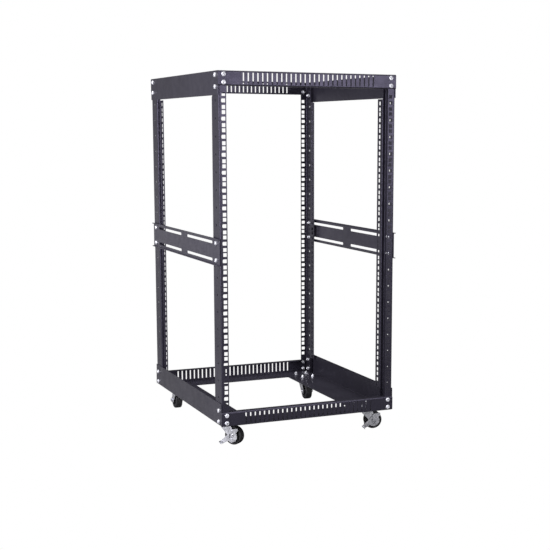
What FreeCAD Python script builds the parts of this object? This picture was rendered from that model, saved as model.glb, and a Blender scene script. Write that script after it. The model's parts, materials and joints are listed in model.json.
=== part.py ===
import FreeCAD, Part
import math
import os

# Four post open frame rack, in millimetres.  X runs to the right, Y to the rear and Z up.
# The origin is on the floor, under the middle of the frame.

V = FreeCAD.Vector

# Rack standard
RACK_UNITS = 18
UNIT_HEIGHT = 44.45
HOLE_PITCH = 15.875          # between the three square holes of one unit
SQUARE_HOLE = 9.5
OPENING_WIDTH = 450.8        # clear width between the post flanges
HOLE_INSET = 7.15            # from the opening's edge to the middle of its hole column

# Frame
END_MARGIN = 51.0            # from the first and last unit to the ends of the frame
FRAME_DEPTH = 588.0          # over the post flanges
SHEET = 2.0                  # wall of every folded part
BEND = 1.5                   # inside radius of every fold

# Posts
FLANGE_WIDTH = 19.9
POST_DEPTH = 51.4
SIDE_HOLE = 7.0              # round hole in the post's side, one for each unit

# Side rails
SIDE_RAIL_HEIGHT = 60.0
SIDE_RAIL_FLOOR = 98.0       # width of the lower rail's turned-in floor
SIDE_BOLT_INSET = 18.5       # bolt holes, from the post's outer flange face
SIDE_BOLT_LOW = 10.5         # and from the rail's outer edge
SIDE_BOLT_STEP = 29.0

# Front and rear rails
CROSS_RAIL_HEIGHT = 37.0
CROSS_RAIL_FLOOR = 80.0      # depth of the lower rails' turned-in floor
CROSS_RAIL_LIP = 18.0        # depth of the turned-in lips
CROSS_RAIL_END_GAP = 2.0     # between a lip's end and the post's flange
FLOOR_GAP = 0.5              # between the floors of a side rail and a cross rail
CROSS_BOLT_LOW = 9.0
CROSS_BOLT_STEP = 20.0
VENT_COUNT = 29
VENT_PITCH = 12.85
VENT_WIDTH = 4.0
VENT_LENGTH = 28.0
RAIL_BOLT_HOLE = 6.6

# Middle braces
BRACE_HEIGHT = 69.0
BRACE_LIP = 5.0              # height of the brace's outward lips over its outer face
BRACE_SLOT_WIDTH = 7.5
BRACE_SLOT_LENGTH = 214.6
BRACE_SLOT_BRIDGE = 48.4     # solid length between the two slots of a row

# Casters
CASTER_HEIGHT = 66.5
CASTER_INSET_SIDE = 44.3     # swivel centre to the side rail's outer face
CASTER_INSET_END = 82.0      # swivel centre to the end rail's outer face
CASTER_TRAIL = 22.0          # axle to swivel centre, seen from above
PLATE_WIDTH = 52.0
PLATE_LENGTH = 72.0
PLATE_SHEET = 2.5
PLATE_CORNER = 5.0
PLATE_BOLT_X = 34.0
PLATE_BOLT_Y = 52.0
PLATE_SLOT_LENGTH = 11.0
RACE_RADIUS = 20.0
RACE_DROP = 4.2
KINGPIN_RADIUS = 4.0
KINGPIN_HEAD = 8.0           # radius of its lower head
KINGPIN_CROWN = 4.8          # radius of the flat on that head
KINGPIN_HEAD_RIM = 1.4
KINGPIN_HEAD_HEIGHT = 2.7
SWIVEL_GAP = 0.3             # between the plate's race and the fork's crown
RUNNING_FIT = 0.05           # radial, on the kingpin and on the axle
FORK_SHEET = 2.0
FORK_CROWN_RADIUS = 19.0
FORK_INNER_WIDTH = 25.0
FORK_LEG_TOP = 34.0
FORK_EYE_RADIUS = 9.0
WHEEL_RADIUS = 25.0
WHEEL_WIDTH = 20.0
TYRE_WALL = 6.0
TYRE_SHOULDER_WIDTH = 3.0    # how far the rounding of the tread's edge comes in along the axle
TYRE_SHOULDER_DROP = 3.0     # and down the side wall
HUB_BOSS_RADIUS = 7.0
HUB_BOSS_WIDTH = 24.0
HUB_DISC = 6.0
HUB_RIM = 3.0
AXLE_RADIUS = 3.0
AXLE_HEAD_RADIUS = 4.0
AXLE_HEAD_FLAT = 2.6         # radius of the flat on its rounded head
AXLE_HEAD_HEIGHT = 3.0
AXLE_NUT_FLATS = 10.0
AXLE_NUT_HEIGHT = 5.0
AXLE_END = 1.0               # how far the thread stands out of the nut

# Brake levers of the front casters
LEVER_SHEET = 1.5
LEVER_GAP = 1.0              # from the fork leg's outer face to the lever
LEVER_PIVOT_RISE = 12.0      # pivot over the axle
LEVER_PIVOT_RADIUS = 2.5
LEVER_PIVOT_HEAD = 3.8       # radius of the pivot's rivet head
LEVER_DISC_RADIUS = 16.5     # round lower edge, about the axle
LEVER_DISC_FROM = 35.0       # ends of that round edge, in degrees
LEVER_DISC_TO = -125.0
LEVER_WINDOW_RADIUS = 7.4    # opening round the axle's head
LEVER_TIP_REACH = 15.5       # centre of the tongue's round tip, ahead of the axle
LEVER_TIP_RISE = 18.0        # and over it
LEVER_TIP_RADIUS = 4.0
LEVER_CREST_REACH = 1.0      # corner over the pivot, behind the axle
LEVER_CREST_RISE = 18.0
LEVER_WAIST_REACH = 8.0      # corner between the crest and the foot
LEVER_WAIST_RISE = 7.0
LEVER_FOOT_REACH = 33.0      # upper corner of the foot's end, behind the axle
LEVER_FOOT_DROP = 16.0
LEVER_TOE_REACH = 26.0       # lower corner of the foot's end
LEVER_TOE_DROP = 22.0
LEVER_TREAD_WIDTH = 12.0     # how far the foot's tread is turned outwards
SHOE_ANGLE = 208.0           # place of the brake shoe round the wheel, in degrees
SHOE_GAP = 0.3               # from the tread
SHOE_LENGTH = 6.0
SHOE_END = 2.0               # from the wheel's middle to the shoe's end

# Headings of the four wheels, in degrees about +Z, from the swivel to the axle
HEADING_FRONT_LEFT = -50.0
HEADING_FRONT_RIGHT = -15.0
HEADING_REAR_LEFT = 88.0
HEADING_REAR_RIGHT = -94.0

# Derived sizes
FRAME_HEIGHT = RACK_UNITS * UNIT_HEIGHT + 2 * END_MARGIN
FRAME_BASE = CASTER_HEIGHT
FRAME_TOP = FRAME_BASE + FRAME_HEIGHT
FIRST_UNIT = FRAME_BASE + END_MARGIN
POST_OUTER = OPENING_WIDTH / 2 + FLANGE_WIDTH
RAIL_OUTER = POST_OUTER + SHEET
POST_FRONT = FRAME_DEPTH / 2
RAIL_FRONT = POST_FRONT + SHEET
MIDDLE = FRAME_BASE + FRAME_HEIGHT / 2
HOLE_COLUMN = OPENING_WIDTH / 2 + HOLE_INSET
SIDE_FLOOR_EDGE = RAIL_OUTER - SIDE_RAIL_FLOOR
SIDE_HOLE_Y = POST_FRONT - POST_DEPTH / 2
SIDE_BOLT_Y = POST_FRONT - SIDE_BOLT_INSET
FORK_OUTER = FORK_INNER_WIDTH / 2 + FORK_SHEET
LEVER_BACK = -FORK_OUTER - LEVER_GAP

LEFT, RIGHT = -1, 1
FRONT, REAR = -1, 1


def box(x0, x1, y0, y1, z0, z1):
    """Block between two opposite corners, given in any order."""
    low = V(min(x0, x1), min(y0, y1), min(z0, z1))
    return Part.makeBox(abs(x1 - x0), abs(y1 - y0), abs(z1 - z0), low)


def flip_x(shape):
    return shape.mirror(V(0, 0, 0), V(1, 0, 0))


def flip_y(shape):
    return shape.mirror(V(0, 0, 0), V(0, 1, 0))


def place(shape, side, end):
    """Copy of a front-left shape for the wanted corner."""
    if side == RIGHT:
        shape = flip_x(shape)
    if end == REAR:
        shape = flip_y(shape)
    return shape


def bent_edges(points, radius_left, radius_right):
    """Line through the points with each corner rounded; left turns take the first radius."""
    edges = []
    start = points[0]
    for before, corner, after in zip(points, points[1:], points[2:]):
        a = (corner - before).normalize()
        b = (after - corner).normalize()
        turn_left = a.cross(b).z > 0
        radius = radius_left if turn_left else radius_right
        trim = radius * math.tan(a.getAngle(b) / 2)
        arc_start = corner - a * trim
        arc_end = corner + b * trim
        inward = (b - a).normalize()
        centre = corner + inward * math.hypot(radius, trim)
        arc_middle = centre - inward * radius
        edges.append(Part.LineSegment(start, arc_start).toShape())
        edges.append(Part.Arc(arc_start, arc_middle, arc_end).toShape())
        start = arc_end
    edges.append(Part.LineSegment(start, points[-1]).toShape())
    return edges


def folded_section(points):
    """Face of a folded sheet in the XY plane; the points follow its right-hand surface."""
    inner = []
    for index, point in enumerate(points):
        shift = V(0, 0, 0)
        if index > 0:
            a = (point - points[index - 1]).normalize()
            shift = shift + V(-a.y, a.x, 0) * SHEET
        if index < len(points) - 1:
            b = (points[index + 1] - point).normalize()
            shift = shift + V(-b.y, b.x, 0) * SHEET
        inner.append(point + shift)
    outer_edges = bent_edges(points, BEND + SHEET, BEND)
    inner_edges = bent_edges(inner[::-1], BEND + SHEET, BEND)
    first_end = Part.LineSegment(inner[0], points[0]).toShape()
    last_end = Part.LineSegment(points[-1], inner[-1]).toShape()
    wire = Part.Wire(outer_edges + [last_end] + inner_edges + [first_end])
    return Part.Face(wire)


def unit_hole_heights():
    """Heights of the square holes, three for each unit."""
    heights = []
    for unit in range(RACK_UNITS):
        middle = FIRST_UNIT + (unit + 0.5) * UNIT_HEIGHT
        heights += [middle - HOLE_PITCH, middle, middle + HOLE_PITCH]
    return heights


def side_hole_heights():
    return [FIRST_UNIT + (unit + 0.5) * UNIT_HEIGHT for unit in range(RACK_UNITS)]


def side_bolt_heights(base, up):
    """Heights of the two bolts of a side rail, from the outer edge of the frame."""
    return [base + up * SIDE_BOLT_LOW, base + up * (SIDE_BOLT_LOW + SIDE_BOLT_STEP)]


def cross_bolt_heights(base, up):
    return [base + up * CROSS_BOLT_LOW, base + up * (CROSS_BOLT_LOW + CROSS_BOLT_STEP)]


def side_bore(diameter, y, z):
    """Round cutter through the left wall of the frame, along X."""
    reach = FLANGE_WIDTH / 2
    return Part.makeCylinder(diameter / 2, 2 * reach, V(-POST_OUTER - reach, y, z), V(1, 0, 0))


def front_bore(diameter, x, z):
    """Round cutter through the front wall of the frame, along Y."""
    reach = FLANGE_WIDTH / 2
    return Part.makeCylinder(diameter / 2, 2 * reach, V(x, -POST_FRONT - reach, z), V(0, 1, 0))


def post():
    """Front left post: a channel with its web to the side and both flanges turned in."""
    x = -POST_OUTER
    y = -POST_FRONT
    path = [
        V(x + FLANGE_WIDTH, y + POST_DEPTH, 0),
        V(x, y + POST_DEPTH, 0),
        V(x, y, 0),
        V(x + FLANGE_WIDTH, y, 0),
    ]
    foot = FRAME_BASE + SHEET + BEND
    body = folded_section(path).extrude(V(0, 0, FRAME_TOP - foot))
    body.translate(V(0, 0, foot))
    half = SQUARE_HOLE / 2
    cutters = []
    for z in unit_hole_heights():
        cutters.append(box(-HOLE_COLUMN - half, -HOLE_COLUMN + half,
                           y - half, y + POST_DEPTH + half, z - half, z + half))
    for z in side_hole_heights():
        cutters.append(side_bore(SIDE_HOLE, -SIDE_HOLE_Y, z))
    for z in side_bolt_heights(FRAME_BASE, 1) + side_bolt_heights(FRAME_TOP, -1):
        cutters.append(side_bore(RAIL_BOLT_HOLE, -SIDE_BOLT_Y, z))
    for z in cross_bolt_heights(FRAME_BASE, 1) + cross_bolt_heights(FRAME_TOP, -1):
        cutters.append(front_bore(RAIL_BOLT_HOLE, -HOLE_COLUMN, z))
    return body.cut(cutters)


def lower_side_rail():
    """Left lower rail: an upright plate with its foot turned in as a wide floor for the casters."""
    path = [
        V(-RAIL_OUTER, FRAME_BASE + SIDE_RAIL_HEIGHT, 0),
        V(-RAIL_OUTER, FRAME_BASE, 0),
        V(-SIDE_FLOOR_EDGE, FRAME_BASE, 0),
    ]
    body = along_y(folded_section(path))
    cutters = []
    for end in (FRONT, REAR):
        for z in side_bolt_heights(FRAME_BASE, 1):
            cutters.append(side_bore(RAIL_BOLT_HOLE, end * SIDE_BOLT_Y, z))
        cutters += caster_bolt_cutters(end)
    return body.cut(cutters)


def along_y(section):
    """Section drawn as X and height, carried from the front to the rear of the posts."""
    body = section.extrude(V(0, 0, FRAME_DEPTH))
    body.rotate(V(0, 0, 0), V(1, 0, 0), 90)
    body.translate(V(0, POST_FRONT, 0))
    return body


def upper_side_rail():
    """Left upper rail: a flat plate bolted outside the posts."""
    body = box(-RAIL_OUTER, -POST_OUTER, -POST_FRONT, POST_FRONT, FRAME_TOP - SIDE_RAIL_HEIGHT, FRAME_TOP)
    cutters = []
    for end in (FRONT, REAR):
        for z in side_bolt_heights(FRAME_TOP, -1):
            cutters.append(side_bore(RAIL_BOLT_HOLE, end * SIDE_BOLT_Y, z))
    return body.cut(cutters)


def vent_cutters(z):
    """Row of upright vent slots through a front rail, about the height z."""
    cutters = []
    for index in range(VENT_COUNT):
        x = (index - (VENT_COUNT - 1) / 2) * VENT_PITCH
        cutters.append(box(x - VENT_WIDTH / 2, x + VENT_WIDTH / 2, -RAIL_FRONT - SHEET, -POST_FRONT + SHEET,
                           z - VENT_LENGTH / 2, z + VENT_LENGTH / 2))
    return cutters


def cross_rail_bolts(base, up):
    cutters = []
    for side in (LEFT, RIGHT):
        for z in cross_bolt_heights(base, up):
            cutters.append(front_bore(RAIL_BOLT_HOLE, side * HOLE_COLUMN, z))
    return cutters


def along_x(section):
    """Section drawn as depth behind the front face and height, carried over the full width."""
    body = section.extrude(V(0, 0, 2 * RAIL_OUTER))
    body.rotate(V(0, 0, 0), V(1, 1, 1), 120)
    body.translate(V(-RAIL_OUTER, -RAIL_FRONT, 0))
    return body


def end_cutters(half, depth, low, high):
    """Blocks that end a turned-in edge at a half width and leave the rail's face whole."""
    back = -RAIL_FRONT + depth + SHEET
    outer = RAIL_OUTER + SHEET
    return [box(side * half, side * outer, -POST_FRONT, back, low, high) for side in (LEFT, RIGHT)]


def lip_half_width():
    return OPENING_WIDTH / 2 - CROSS_RAIL_END_GAP


def upper_cross_rail():
    """Front upper rail: a vented face over the posts, with both edges turned in between them."""
    low = FRAME_TOP - CROSS_RAIL_HEIGHT
    path = [V(CROSS_RAIL_LIP, FRAME_TOP, 0), V(0, FRAME_TOP, 0), V(0, low, 0), V(CROSS_RAIL_LIP, low, 0)]
    body = along_x(folded_section(path))
    cutters = vent_cutters((low + FRAME_TOP) / 2)
    cutters += end_cutters(lip_half_width(), CROSS_RAIL_LIP, low - SHEET, FRAME_TOP + SHEET)
    return body.cut(cutters + cross_rail_bolts(FRAME_TOP, -1))


def lower_cross_rail():
    """Front lower rail: a vented face, a lip over it and a deep floor level with the side rails' floors."""
    top = FRAME_BASE + CROSS_RAIL_HEIGHT
    middle = (FRAME_BASE + top) / 2
    path = [
        V(CROSS_RAIL_LIP, top, 0),
        V(0, top, 0),
        V(0, FRAME_BASE, 0),
        V(CROSS_RAIL_FLOOR, FRAME_BASE, 0),
    ]
    body = along_x(folded_section(path))
    cutters = vent_cutters(middle)
    cutters += end_cutters(lip_half_width(), CROSS_RAIL_LIP, middle, top + SHEET)
    cutters += end_cutters(SIDE_FLOOR_EDGE - FLOOR_GAP, CROSS_RAIL_FLOOR, FRAME_BASE - SHEET, middle)
    return body.cut(cutters + cross_rail_bolts(FRAME_BASE, 1))


def brace():
    """Left middle brace: a slotted channel on the posts' sides, with both lips turned out."""
    low = MIDDLE - BRACE_HEIGHT / 2
    high = MIDDLE + BRACE_HEIGHT / 2
    tip = -RAIL_OUTER - BRACE_LIP
    path = [
        V(tip, low, 0),
        V(-POST_OUTER, low, 0),
        V(-POST_OUTER, high, 0),
        V(tip, high, 0),
    ]
    body = along_y(folded_section(path))
    cutters = []
    rows = [MIDDLE - UNIT_HEIGHT / 2, MIDDLE + UNIT_HEIGHT / 2]
    for z in rows:
        for end in (FRONT, REAR):
            near = end * BRACE_SLOT_BRIDGE / 2
            cutters.append(side_slot(near, near + end * BRACE_SLOT_LENGTH, z))
            cutters.append(side_bore(RAIL_BOLT_HOLE, end * SIDE_HOLE_Y, z))
    return body.cut(cutters)


def side_slot(y0, y1, z):
    """Round-ended cutter along Y through the left wall of the frame."""
    radius = BRACE_SLOT_WIDTH / 2
    near = min(y0, y1) + radius
    far = max(y0, y1) - radius
    reach = FLANGE_WIDTH / 2
    bar = box(-POST_OUTER - reach, -POST_OUTER + reach, near, far, z - radius, z + radius)
    ends = [side_bore(BRACE_SLOT_WIDTH, near, z), side_bore(BRACE_SLOT_WIDTH, far, z)]
    return bar.fuse(ends).removeSplitter()


def swivel_centre(side, end):
    x = side * (RAIL_OUTER - CASTER_INSET_SIDE)
    y = end * (RAIL_FRONT - CASTER_INSET_END)
    return V(x, y, 0)


def caster_bolt_cutters(end):
    """The four bolt holes over one left caster, through the side rail's floor."""
    centre = swivel_centre(LEFT, end)
    cutters = []
    for along_x in (LEFT, RIGHT):
        for along in (FRONT, REAR):
            corner = centre + V(along_x * PLATE_BOLT_X / 2, along * PLATE_BOLT_Y / 2, FRAME_BASE - SHEET)
            cutters.append(Part.makeCylinder(RAIL_BOLT_HOLE / 2, 5 * SHEET, corner))
    return cutters


def caster_plate():
    """Mounting plate about its swivel centre, with slotted bolt holes and the pressed ball race."""
    top = FRAME_BASE
    under = top - PLATE_SHEET
    plate = box(-PLATE_WIDTH / 2, PLATE_WIDTH / 2, -PLATE_LENGTH / 2, PLATE_LENGTH / 2, under, top)
    corners = [edge for edge in plate.Edges if abs(edge.tangentAt(edge.FirstParameter).z) > 0.5]
    plate = plate.makeFillet(PLATE_CORNER, corners)
    race = revolved([
        V(KINGPIN_RADIUS + RUNNING_FIT, 0, top),
        V(KINGPIN_RADIUS + RUNNING_FIT, 0, under - RACE_DROP / 2),
        V(RACE_RADIUS - RACE_DROP, 0, under - RACE_DROP / 2),
        V(RACE_RADIUS - RACE_DROP, 0, under - RACE_DROP),
        V(RACE_RADIUS - RACE_DROP / 4, 0, under - RACE_DROP),
        V(RACE_RADIUS, 0, under - RACE_DROP * 3 / 4),
        V(RACE_RADIUS, 0, top),
    ])
    body = plate.fuse(race)
    cutters = [Part.makeCylinder(KINGPIN_RADIUS + RUNNING_FIT, 4 * RACE_DROP, V(0, 0, under - 2 * RACE_DROP))]
    radius = RAIL_BOLT_HOLE / 2
    reach = (PLATE_SLOT_LENGTH - RAIL_BOLT_HOLE) / 2
    for along_x in (LEFT, RIGHT):
        for along in (FRONT, REAR):
            x = along_x * PLATE_BOLT_X / 2
            y = along * PLATE_BOLT_Y / 2
            bar = box(x - radius, x + radius, y - reach, y + reach, under - SHEET, top + SHEET)
            ends = [Part.makeCylinder(radius, PLATE_SHEET + 2 * SHEET, V(x, y + shift, under - SHEET))
                    for shift in (-reach, reach)]
            cutters.append(bar.fuse(ends).removeSplitter())
    return body.cut(cutters).removeSplitter()


def revolved(points):
    """Solid of revolution about Z from a closed outline of radius and height."""
    wire = Part.makePolygon(points + [points[0]])
    return Part.Face(wire).revolve(V(0, 0, 0), V(0, 0, 1), 360)


def crown_top():
    return FRAME_BASE - PLATE_SHEET - RACE_DROP - SWIVEL_GAP


def kingpin():
    """Rivet through the plate and the fork's crown, with a domed lower head."""
    top = FRAME_BASE
    head_top = crown_top() - FORK_SHEET - SWIVEL_GAP
    return revolved([
        V(0, 0, top - PLATE_SHEET / 2),
        V(KINGPIN_RADIUS, 0, top - PLATE_SHEET / 2),
        V(KINGPIN_RADIUS, 0, head_top),
        V(KINGPIN_HEAD, 0, head_top),
        V(KINGPIN_HEAD, 0, head_top - KINGPIN_HEAD_RIM),
        V(KINGPIN_CROWN, 0, head_top - KINGPIN_HEAD_HEIGHT),
        V(0, 0, head_top - KINGPIN_HEAD_HEIGHT),
    ])


def fork(braked):
    """Pressed fork, with the swivel on the Z axis and the wheel ahead along +X."""
    top = crown_top()
    half = FORK_INNER_WIDTH / 2
    crown = Part.makeCylinder(FORK_CROWN_RADIUS, FORK_SHEET, V(0, 0, top - FORK_SHEET))
    leg = fork_leg(top)
    legs = [leg.translated(V(0, half, 0)), leg.translated(V(0, -half - FORK_SHEET, 0))]
    body = crown.fuse(legs)
    cutters = [Part.makeCylinder(KINGPIN_RADIUS + RUNNING_FIT, 3 * FORK_SHEET, V(0, 0, top - 2 * FORK_SHEET))]
    cutters.append(axle_cylinder(AXLE_RADIUS, 2 * FORK_INNER_WIDTH))
    if braked:
        pin_hole = LEVER_PIVOT_RADIUS + RUNNING_FIT
        cutters.append(lever_pin(pin_hole, -FORK_OUTER - SHEET, -FORK_OUTER + 2 * SHEET))
    return body.cut(cutters).removeSplitter()


def fork_leg(top):
    """One tapered leg in the XZ plane, from the crown to the eye round the axle."""
    eye = V(CASTER_TRAIL, 0, WHEEL_RADIUS)
    rear_top = V(-FORK_LEG_TOP / 2, 0, top)
    front_top = V(FORK_LEG_TOP / 2, 0, top)
    rear_touch = tangent_point(rear_top, eye, FORK_EYE_RADIUS, 1)
    front_touch = tangent_point(front_top, eye, FORK_EYE_RADIUS, -1)
    lowest = eye + (eye - (rear_top + front_top) * 0.5).normalize() * FORK_EYE_RADIUS
    edges = [
        Part.LineSegment(front_top, rear_top).toShape(),
        Part.LineSegment(rear_top, rear_touch).toShape(),
        Part.Arc(rear_touch, lowest, front_touch).toShape(),
        Part.LineSegment(front_touch, front_top).toShape(),
    ]
    return Part.Face(Part.Wire(edges)).extrude(V(0, FORK_SHEET, 0))


def tangent_point(point, centre, radius, turn):
    """Where a line from the point touches a circle in the XZ plane."""
    away = point - centre
    heading = math.atan2(away.z, away.x)
    angle = heading + turn * math.acos(radius / away.Length)
    return centre + V(math.cos(angle), 0, math.sin(angle)) * radius


def axle_cylinder(radius, length):
    """Cylinder along Y on the wheel's axis, centred on the wheel."""
    return Part.makeCylinder(radius, length, V(CASTER_TRAIL, -length / 2, WHEEL_RADIUS), V(0, 1, 0))


def wheel_turned(points):
    """Solid of revolution about the wheel's axis from an outline of side distance and radius."""
    outline = [V(CASTER_TRAIL, across, WHEEL_RADIUS + radius) for across, radius in points]
    wire = Part.makePolygon(outline + [outline[0]])
    return Part.Face(wire).revolve(V(CASTER_TRAIL, 0, WHEEL_RADIUS), V(0, 1, 0), 360)


def tyre():
    """Tread ring with rounded shoulders."""
    half = WHEEL_WIDTH / 2
    inner = WHEEL_RADIUS - TYRE_WALL
    low = WHEEL_RADIUS - TYRE_SHOULDER_DROP
    across = half - TYRE_SHOULDER_WIDTH
    bulge_across = half - TYRE_SHOULDER_WIDTH / 3
    bulge = WHEEL_RADIUS - TYRE_SHOULDER_DROP / 3
    return wheel_turned([
        (-half, inner), (half, inner), (half, low), (bulge_across, bulge), (across, WHEEL_RADIUS),
        (-across, WHEEL_RADIUS), (-bulge_across, bulge), (-half, low),
    ])


def hub():
    """Wheel centre: a boss on the axle, a thin disc and the rim that carries the tyre."""
    boss = HUB_BOSS_WIDTH / 2
    disc = HUB_DISC / 2
    rim = WHEEL_WIDTH / 2
    outer = WHEEL_RADIUS - TYRE_WALL
    bore = AXLE_RADIUS + RUNNING_FIT
    return wheel_turned([
        (-boss, bore), (boss, bore), (boss, HUB_BOSS_RADIUS), (disc, HUB_BOSS_RADIUS),
        (disc, outer - HUB_RIM), (rim, outer - HUB_RIM), (rim, outer),
        (-rim, outer), (-rim, outer - HUB_RIM), (-disc, outer - HUB_RIM),
        (-disc, HUB_BOSS_RADIUS), (-boss, HUB_BOSS_RADIUS),
    ])


def axle():
    """Axle bolt through the fork, with a round head on one side and a nut on the other."""
    head = -FORK_OUTER - AXLE_HEAD_HEIGHT
    end = FORK_OUTER + AXLE_NUT_HEIGHT
    shank = wheel_turned([
        (head, 0), (head, AXLE_HEAD_FLAT), (head + AXLE_HEAD_HEIGHT / 2, AXLE_HEAD_RADIUS),
        (-FORK_OUTER, AXLE_HEAD_RADIUS), (-FORK_OUTER, AXLE_RADIUS), (end, AXLE_RADIUS), (end, 0),
    ])
    corner = AXLE_NUT_FLATS / 2 / math.cos(math.pi / 6)
    hexagon = []
    for index in range(7):
        angle = math.radians(60 * index)
        along = CASTER_TRAIL + corner * math.cos(angle)
        up = WHEEL_RADIUS + corner * math.sin(angle)
        hexagon.append(V(along, FORK_OUTER, up))
    nut = Part.Face(Part.makePolygon(hexagon)).extrude(V(0, AXLE_NUT_HEIGHT - AXLE_END, 0))
    return shank.fuse(nut).removeSplitter()


def beside_axle(ahead, over):
    """Point on the lever's inner face, placed from the axle."""
    return V(CASTER_TRAIL + ahead, LEVER_BACK, WHEEL_RADIUS + over)


def lever_pin(radius, y0, y1):
    """Cylinder on the lever's pivot between two distances beside the wheel."""
    height = WHEEL_RADIUS + LEVER_PIVOT_RISE
    return Part.makeCylinder(radius, y1 - y0, V(CASTER_TRAIL, y0, height), V(0, 1, 0))


def on_lever_disc(degrees):
    angle = math.radians(degrees)
    return beside_axle(LEVER_DISC_RADIUS * math.cos(angle), LEVER_DISC_RADIUS * math.sin(angle))


def lever_face():
    """Outline of the lever's plate: round under the axle, with a tongue ahead and a foot behind."""
    foot = beside_axle(-LEVER_FOOT_REACH, -LEVER_FOOT_DROP)
    toe = beside_axle(-LEVER_TOE_REACH, -LEVER_TOE_DROP)
    waist = beside_axle(-LEVER_WAIST_REACH, LEVER_WAIST_RISE)
    crest = beside_axle(-LEVER_CREST_REACH, LEVER_CREST_RISE)
    tip = beside_axle(LEVER_TIP_REACH, LEVER_TIP_RISE)
    disc_start = on_lever_disc(LEVER_DISC_FROM)
    disc_middle = on_lever_disc((LEVER_DISC_FROM + LEVER_DISC_TO) / 2)
    disc_end = on_lever_disc(LEVER_DISC_TO)
    tip_low = tangent_point(disc_start, tip, LEVER_TIP_RADIUS, 1)
    tip_high = tangent_point(crest, tip, LEVER_TIP_RADIUS, -1)
    tip_far = tip + (tip - (crest + disc_start) * 0.5).normalize() * LEVER_TIP_RADIUS
    edges = [
        Part.Arc(disc_end, disc_middle, disc_start).toShape(),
        Part.LineSegment(disc_start, tip_low).toShape(),
        Part.Arc(tip_low, tip_far, tip_high).toShape(),
        Part.LineSegment(tip_high, crest).toShape(),
        Part.LineSegment(crest, waist).toShape(),
        Part.LineSegment(waist, foot).toShape(),
        Part.LineSegment(foot, toe).toShape(),
        Part.LineSegment(toe, disc_end).toShape(),
    ]
    return Part.Face(Part.Wire(edges))


def lever_tread():
    """Strip turned outwards from the foot's end, where the lever is pressed."""
    foot = beside_axle(-LEVER_FOOT_REACH, -LEVER_FOOT_DROP)
    toe = beside_axle(-LEVER_TOE_REACH, -LEVER_TOE_DROP)
    along = (toe - foot).normalize()
    inward = V(-along.z, 0, along.x) * LEVER_SHEET
    wire = Part.makePolygon([foot, toe, toe + inward, foot + inward, foot])
    return Part.Face(wire).extrude(V(0, -LEVER_TREAD_WIDTH, 0))


def brake_shoe():
    """Tab turned in from the lever over the tyre's tread."""
    near = WHEEL_RADIUS + SHOE_GAP
    half = SHOE_LENGTH / 2
    shoe = box(near, near + LEVER_SHEET, LEVER_BACK - LEVER_SHEET / 2, -SHOE_END, -half, half)
    shoe.rotate(V(0, 0, 0), V(0, 1, 0), -SHOE_ANGLE)
    return shoe.translated(V(CASTER_TRAIL, 0, WHEEL_RADIUS))


def brake_lever():
    """Foot lever beside the wheel, in its locked place, with its rivet through the fork's leg."""
    front = LEVER_BACK - LEVER_SHEET
    plate = lever_face().extrude(V(0, -LEVER_SHEET, 0))
    window = Part.makeCylinder(LEVER_WINDOW_RADIUS, 2 * LEVER_SHEET, beside_axle(0, 0), V(0, -1, 0))
    pin = lever_pin(LEVER_PIVOT_RADIUS, front, -FORK_OUTER + FORK_SHEET)
    head = lever_pin(LEVER_PIVOT_HEAD, front - LEVER_SHEET, front)
    return plate.cut(window).fuse([lever_tread(), brake_shoe(), pin, head]).removeSplitter()


def caster(side, end, heading, braked):
    """Every piece of one caster by name, set under its corner with its wheel turned to a heading."""
    centre = swivel_centre(side, end)
    fixed = {"plate": caster_plate(), "kingpin": kingpin()}
    turning = {"fork": fork(braked), "axle": axle(), "tyre": tyre(), "hub": hub()}
    if braked:
        turning["brake_lever"] = brake_lever()
    for shape in turning.values():
        shape.rotate(V(0, 0, 0), V(0, 0, 1), heading)
    pieces = {**fixed, **turning}
    for shape in pieces.values():
        shape.translate(centre)
    return pieces


def build():
    parts = {}
    corner_post = post()
    low_side = lower_side_rail()
    high_side = upper_side_rail()
    low_cross = lower_cross_rail()
    high_cross = upper_cross_rail()
    left_brace = brace()
    sides = {"left": LEFT, "right": RIGHT}
    ends = {"front": FRONT, "rear": REAR}
    for side_name, side in sides.items():
        parts["lower_side_rail_" + side_name] = place(low_side, side, FRONT)
        parts["upper_side_rail_" + side_name] = place(high_side, side, FRONT)
        parts["middle_brace_" + side_name] = place(left_brace, side, FRONT)
    for end_name, end in ends.items():
        parts["lower_cross_rail_" + end_name] = place(low_cross, LEFT, end)
        parts["upper_cross_rail_" + end_name] = place(high_cross, LEFT, end)
        for side_name, side in sides.items():
            parts["post_" + end_name + "_" + side_name] = place(corner_post, side, end)
    headings = {
        ("front", "left"): HEADING_FRONT_LEFT,
        ("front", "right"): HEADING_FRONT_RIGHT,
        ("rear", "left"): HEADING_REAR_LEFT,
        ("rear", "right"): HEADING_REAR_RIGHT,
    }
    for (end_name, side_name), heading in headings.items():
        pieces = caster(sides[side_name], ends[end_name], heading, end_name == "front")
        for piece, shape in pieces.items():
            parts["caster_" + end_name + "_" + side_name + "_" + piece] = shape
    return parts


os.makedirs("parts", exist_ok=True)
for name, shape in build().items():
    shape.exportStep("parts/" + name + ".step")
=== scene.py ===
import json
import math

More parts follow.
